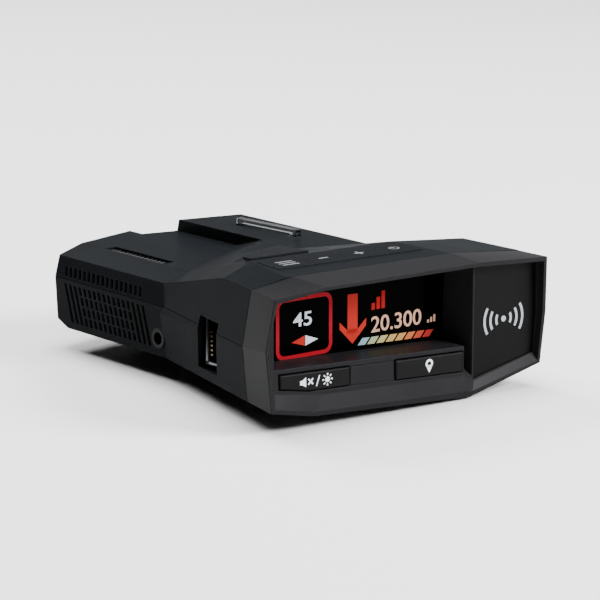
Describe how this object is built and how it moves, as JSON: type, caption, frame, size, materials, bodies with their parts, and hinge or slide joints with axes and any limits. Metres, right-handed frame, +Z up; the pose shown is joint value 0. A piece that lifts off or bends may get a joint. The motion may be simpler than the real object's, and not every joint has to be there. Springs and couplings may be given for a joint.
{
  "type": "radar detector",
  "caption": "Dashboard radar detector with a hooded display, press buttons on its face and roof, side cooling vents, power and audio jacks, a bracket slot and a forked rear end.",
  "frame": {"origin": "centre of the flat belly pad that the detector rests on", "axes": "+Z up out of the roof, -Y towards the driver (display end), +Y towards the windscreen, +X to the driver's right"},
  "size_m": [0.0957, 0.1309, 0.0388],
  "materials": {
    "case_lower": "fine spark texture, satin",
    "case_upper": "fine spark texture, satin",
    "bezel": "fine spark texture, satin",
    "panel": "smooth, semi-gloss",
    "grille": "matt",
    "bracket": "satin black",
    "clear": "clear polycarbonate",
    "front_key": "satin with printed legends",
    "roof_key": "satin with printed legends",
    "lens": "polished dark window",
    "oled": "smooth",
    "display_frame": "matt",
    "flex": "polyimide film",
    "board": "solder mask",
    "switch": "satin",
    "red_lens": "polished dark red window",
    "sensor": "matt",
    "horn": "as cast",
    "can": "tinned",
    "ceramic": "fired ceramic",
    "speaker": "matt",
    "jack": "moulded",
    "chip": "moulded",
    "contact": "gold flashed",
    "screw": "black zinc",
    "label": "printed film, blank"
  },
  "bodies": {
    "case": {"lower_case": "case_lower", "upper_case": "case_upper", "front_bezel": "bezel", "logo_panel": "panel", "button_filler": "bezel", "roof_vent_grille": "grille", "bracket_plate": "bracket", "clear_bar": "clear", "display_lens": "lens", "oled_panel": "oled", "display_frame": "display_frame", "display_flex": "flex", "switch_board": "board", "key_board": "board", "main_board": "board", "board_chips": "chip", "front_switches": "switch", "roof_switches": "switch", "laser_lens": "red_lens", "laser_sensor": "sensor", "forward_horn": "horn", "backward_horn": "horn", "shield_can": "can", "gps_patch": "ceramic", "speaker": "speaker", "audio_jack": "jack", "power_jack": "jack", "jack_contacts": "contact", "case_screws": "screw", "board_screws": "screw", "base_label": "label"},
    "menu": {"menu_button": "roof_key"},
    "minus": {"minus_button": "roof_key"},
    "plus": {"plus_button": "roof_key"},
    "power": {"power_button": "roof_key"},
    "mute": {"mute_button": "front_key"},
    "mark": {"mark_button": "front_key"}
  },
  "joints": [
    {"name": "menu_press", "type": "slide", "parent": "case", "child": "menu", "axis": [0, 0, -1], "range_m": [0, 0.0005], "stiffness_N_per_m": 400, "springref_m": -0.0004},
    {"name": "minus_press", "type": "slide", "parent": "case", "child": "minus", "axis": [0, 0, -1], "range_m": [0, 0.0005], "stiffness_N_per_m": 400, "springref_m": -0.0004},
    {"name": "plus_press", "type": "slide", "parent": "case", "child": "plus", "axis": [0, 0, -1], "range_m": [0, 0.0005], "stiffness_N_per_m": 400, "springref_m": -0.0004},
    {"name": "power_press", "type": "slide", "parent": "case", "child": "power", "axis": [0, 0, -1], "range_m": [0, 0.0005], "stiffness_N_per_m": 400, "springref_m": -0.0004},
    {"name": "mute_press", "type": "slide", "parent": "case", "child": "mute", "axis": [0.0604, 0.9982, 0], "range_m": [0, 0.0005], "stiffness_N_per_m": 400, "springref_m": -0.0004},
    {"name": "mark_press", "type": "slide", "parent": "case", "child": "mark", "axis": [0.0604, 0.9982, 0], "range_m": [0, 0.0005], "stiffness_N_per_m": 400, "springref_m": -0.0004}
  ]
}
